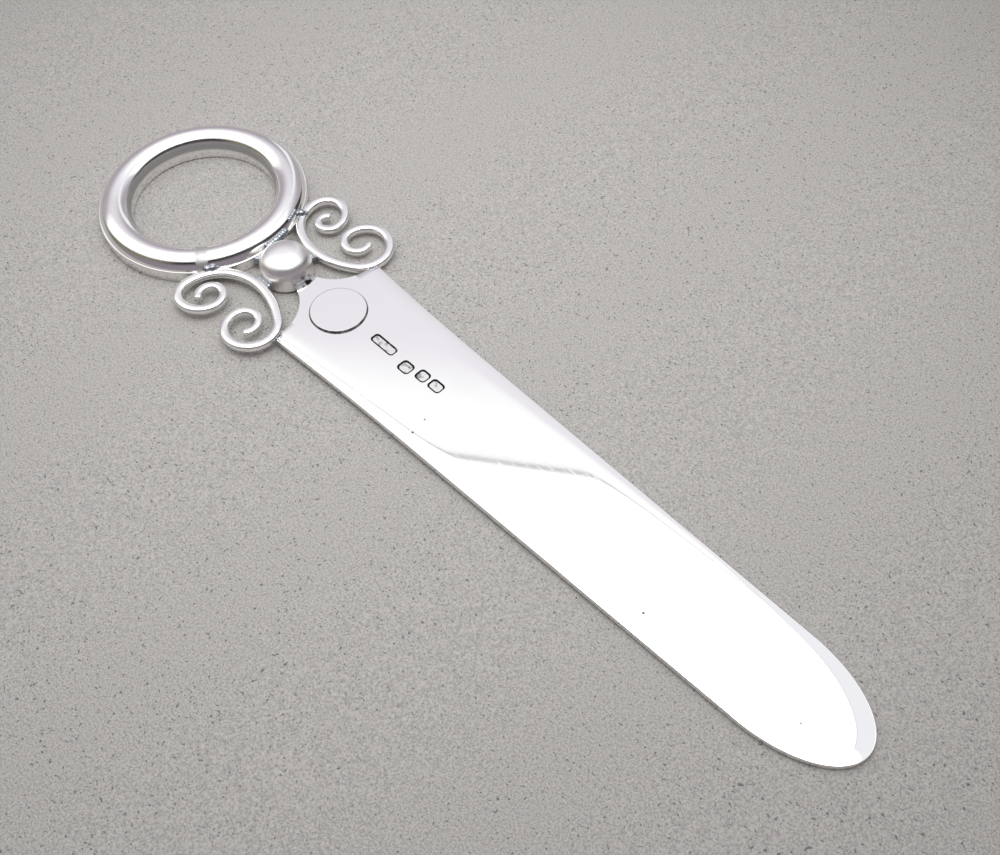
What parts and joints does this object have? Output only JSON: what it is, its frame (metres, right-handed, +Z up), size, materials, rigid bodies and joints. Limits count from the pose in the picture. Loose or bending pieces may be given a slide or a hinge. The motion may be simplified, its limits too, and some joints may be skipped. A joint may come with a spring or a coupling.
{
  "type": "letter opener",
  "caption": "Flat paper knife with a round-ended blade, a thick ring grip, a domed boss and a pair of wire scrolls soldered at the shoulders.",
  "frame": {"origin": "under the middle of the overall length, on the centre line, level with the underside of the ring", "axes": "+X from the ring to the blade's tip, +Y across the blade, +Z up from the face that the knife lies on, the disc's face"},
  "size_m": [0.136, 0.0308, 0.0048],
  "materials": {
    "polished_silver": "polished, lightly scratched",
    "silver_solder": "satin, slightly pitted"
  },
  "bodies": {
    "root": {"blade": "polished_silver", "boss": "polished_silver", "name_disc": "polished_silver", "ring": "polished_silver", "scroll_left": "polished_silver", "scroll_right": "polished_silver", "solder_boss_neck": "silver_solder", "solder_boss_scroll_left": "silver_solder", "solder_boss_scroll_right": "silver_solder", "solder_ring_boss": "silver_solder", "solder_ring_scroll_left": "silver_solder", "solder_ring_scroll_right": "silver_solder", "solder_shoulder_left": "silver_solder", "solder_shoulder_right": "silver_solder"}
  },
  "joints": []
}
